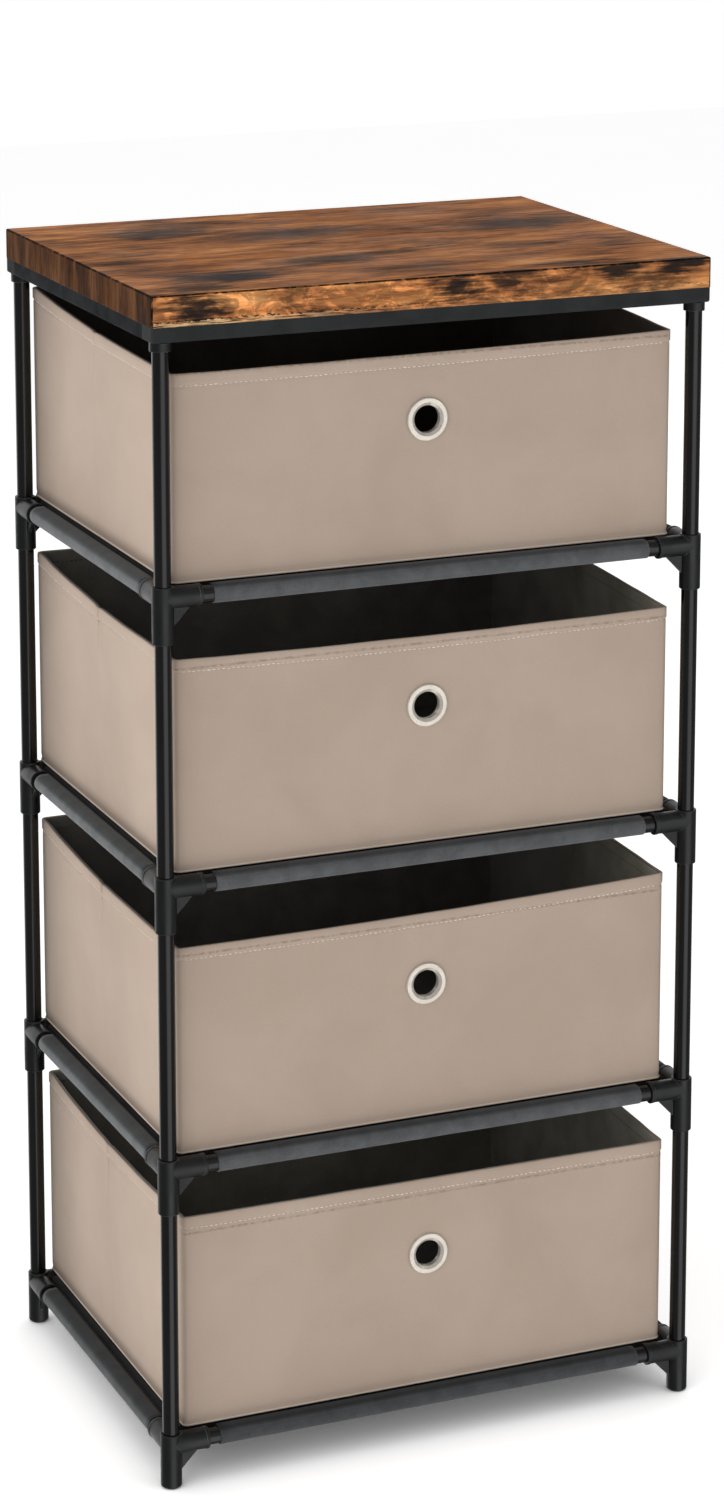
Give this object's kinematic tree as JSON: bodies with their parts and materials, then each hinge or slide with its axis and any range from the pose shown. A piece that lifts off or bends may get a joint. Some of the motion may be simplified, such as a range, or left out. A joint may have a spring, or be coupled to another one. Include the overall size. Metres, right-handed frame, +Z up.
{
  "type": "fabric drawer dresser",
  "caption": "Tall tube-frame dresser with a thick wood-look top, cloth shelves between plastic corner connectors, and cloth drawers pulled out by an eyelet finger hole.",
  "frame": {"origin": "on the floor under the middle of the top", "axes": "+Z up, +X to the right as seen from the front, the drawers open towards -Y"},
  "size_m": [0.447, 0.3362, 0.914],
  "materials": {
    "wood_board": "printed rustic wood laminate, satin",
    "black_rim": "moulded, fine matt",
    "black_connector": "moulded, semi-matt",
    "black_tube": "black powder coat, satin",
    "screw_steel": "zinc plated",
    "shelf_cloth": "dark grey non-woven cloth",
    "drawer_cloth": "beige woven-look cloth",
    "lining_cloth": "dark brown non-woven cloth",
    "base_board": "covered in the lining cloth",
    "eyelet_metal": "polished nickel plate"
  },
  "bodies": {
    "frame": {"board_screws": "screw_steel", "corner_connectors_1": "black_connector", "corner_connectors_2": "black_connector", "corner_connectors_3": "black_connector", "foot_connectors": "black_connector", "post_back_left": "black_tube", "post_back_right": "black_tube", "post_front_left": "black_tube", "post_front_right": "black_tube", "post_socket_back_left": "black_connector", "post_socket_back_right": "black_connector", "post_socket_front_left": "black_connector", "post_socket_front_right": "black_connector", "rail_1_back": "black_tube", "rail_1_front": "black_tube", "rail_1_left": "black_tube", "rail_1_right": "black_tube", "rail_2_back": "black_tube", "rail_2_front": "black_tube", "rail_2_left": "black_tube", "rail_2_right": "black_tube", "rail_3_back": "black_tube", "rail_3_front": "black_tube", "rail_3_left": "black_tube", "rail_3_right": "black_tube", "rail_4_back": "black_tube", "rail_4_front": "black_tube", "rail_4_left": "black_tube", "rail_4_right": "black_tube", "shelf_cloth_1": "shelf_cloth", "shelf_cloth_2": "shelf_cloth", "shelf_cloth_3": "shelf_cloth", "shelf_cloth_4": "shelf_cloth", "socket_screws": "screw_steel", "top_board": "wood_board", "top_rim_back": "black_rim", "top_rim_front": "black_rim", "top_rim_left": "black_rim", "top_rim_right": "black_rim"},
    "drawer_1": {"drawer_1_base_board": "base_board", "drawer_1_cover": "drawer_cloth", "drawer_1_eyelet": "eyelet_metal", "drawer_1_eyelet_washer": "eyelet_metal", "drawer_1_lining": "lining_cloth"},
    "drawer_2": {"drawer_2_base_board": "base_board", "drawer_2_cover": "drawer_cloth", "drawer_2_eyelet": "eyelet_metal", "drawer_2_eyelet_washer": "eyelet_metal", "drawer_2_lining": "lining_cloth"},
    "drawer_3": {"drawer_3_base_board": "base_board", "drawer_3_cover": "drawer_cloth", "drawer_3_eyelet": "eyelet_metal", "drawer_3_eyelet_washer": "eyelet_metal", "drawer_3_lining": "lining_cloth"},
    "drawer_4": {"drawer_4_base_board": "base_board", "drawer_4_cover": "drawer_cloth", "drawer_4_eyelet": "eyelet_metal", "drawer_4_eyelet_washer": "eyelet_metal", "drawer_4_lining": "lining_cloth"}
  },
  "joints": [
    {"name": "drawer_1_slide", "type": "slide", "parent": "frame", "child": "drawer_1", "axis": [0, -1, 0], "range_m": [0, 0.25]},
    {"name": "drawer_2_slide", "type": "slide", "parent": "frame", "child": "drawer_2", "axis": [0, -1, 0], "range_m": [0, 0.25]},
    {"name": "drawer_3_slide", "type": "slide", "parent": "frame", "child": "drawer_3", "axis": [0, -1, 0], "range_m": [0, 0.25]},
    {"name": "drawer_4_slide", "type": "slide", "parent": "frame", "child": "drawer_4", "axis": [0, -1, 0], "range_m": [0, 0.25]}
  ]
}
